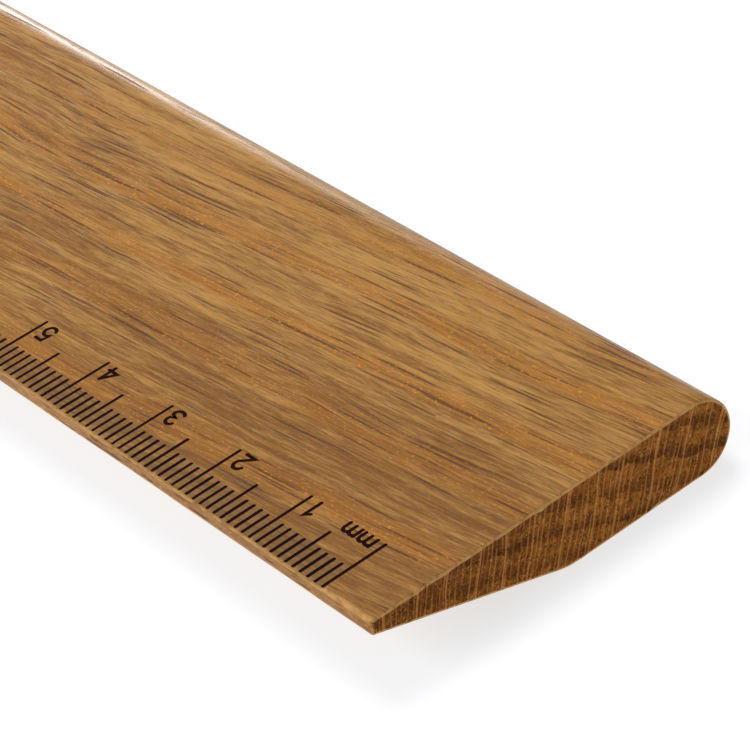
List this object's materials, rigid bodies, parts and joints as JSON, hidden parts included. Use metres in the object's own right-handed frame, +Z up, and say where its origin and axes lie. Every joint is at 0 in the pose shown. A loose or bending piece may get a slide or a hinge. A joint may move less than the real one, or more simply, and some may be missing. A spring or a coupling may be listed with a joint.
{
  "type": "wooden ruler",
  "caption": "Flat wooden desk ruler with a wedge section: thin graduated edge, full-round thick edge, bevelled underside and burnt millimetre scale.",
  "frame": {"origin": "centre of the footprint, on the flat rest of the underside", "axes": "+X along the ruler towards its zero end, +Y across it from the thin graduated edge to the round thick edge, +Z up out of the graduated top face"},
  "size_m": [0.3132, 0.04, 0.0078],
  "materials": {
    "oak": "oiled oak, sanded smooth, semi-gloss, with open pores",
    "burnt_marks": "charred wood, matt, nearly black"
  },
  "bodies": {
    "root": {"oak_blank": "oak", "zero_line": "burnt_marks", "cm_line_01": "burnt_marks", "cm_line_02": "burnt_marks", "cm_line_03": "burnt_marks", "cm_line_04": "burnt_marks", "cm_line_05": "burnt_marks", "cm_line_06": "burnt_marks", "cm_line_07": "burnt_marks", "cm_line_08": "burnt_marks", "cm_line_09": "burnt_marks", "cm_line_10": "burnt_marks", "cm_line_11": "burnt_marks", "cm_line_12": "burnt_marks", "cm_line_13": "burnt_marks", "cm_line_14": "burnt_marks", "cm_line_15": "burnt_marks", "cm_line_16": "burnt_marks", "cm_line_17": "burnt_marks", "cm_line_18": "burnt_marks", "cm_line_19": "burnt_marks", "cm_line_20": "burnt_marks", "cm_line_21": "burnt_marks", "cm_line_22": "burnt_marks", "cm_line_23": "burnt_marks", "cm_line_24": "burnt_marks", "cm_line_25": "burnt_marks", "cm_line_26": "burnt_marks", "cm_line_27": "burnt_marks", "cm_line_28": "burnt_marks", "cm_line_29": "burnt_marks", "cm_line_30": "burnt_marks"}
  },
  "joints": []
}
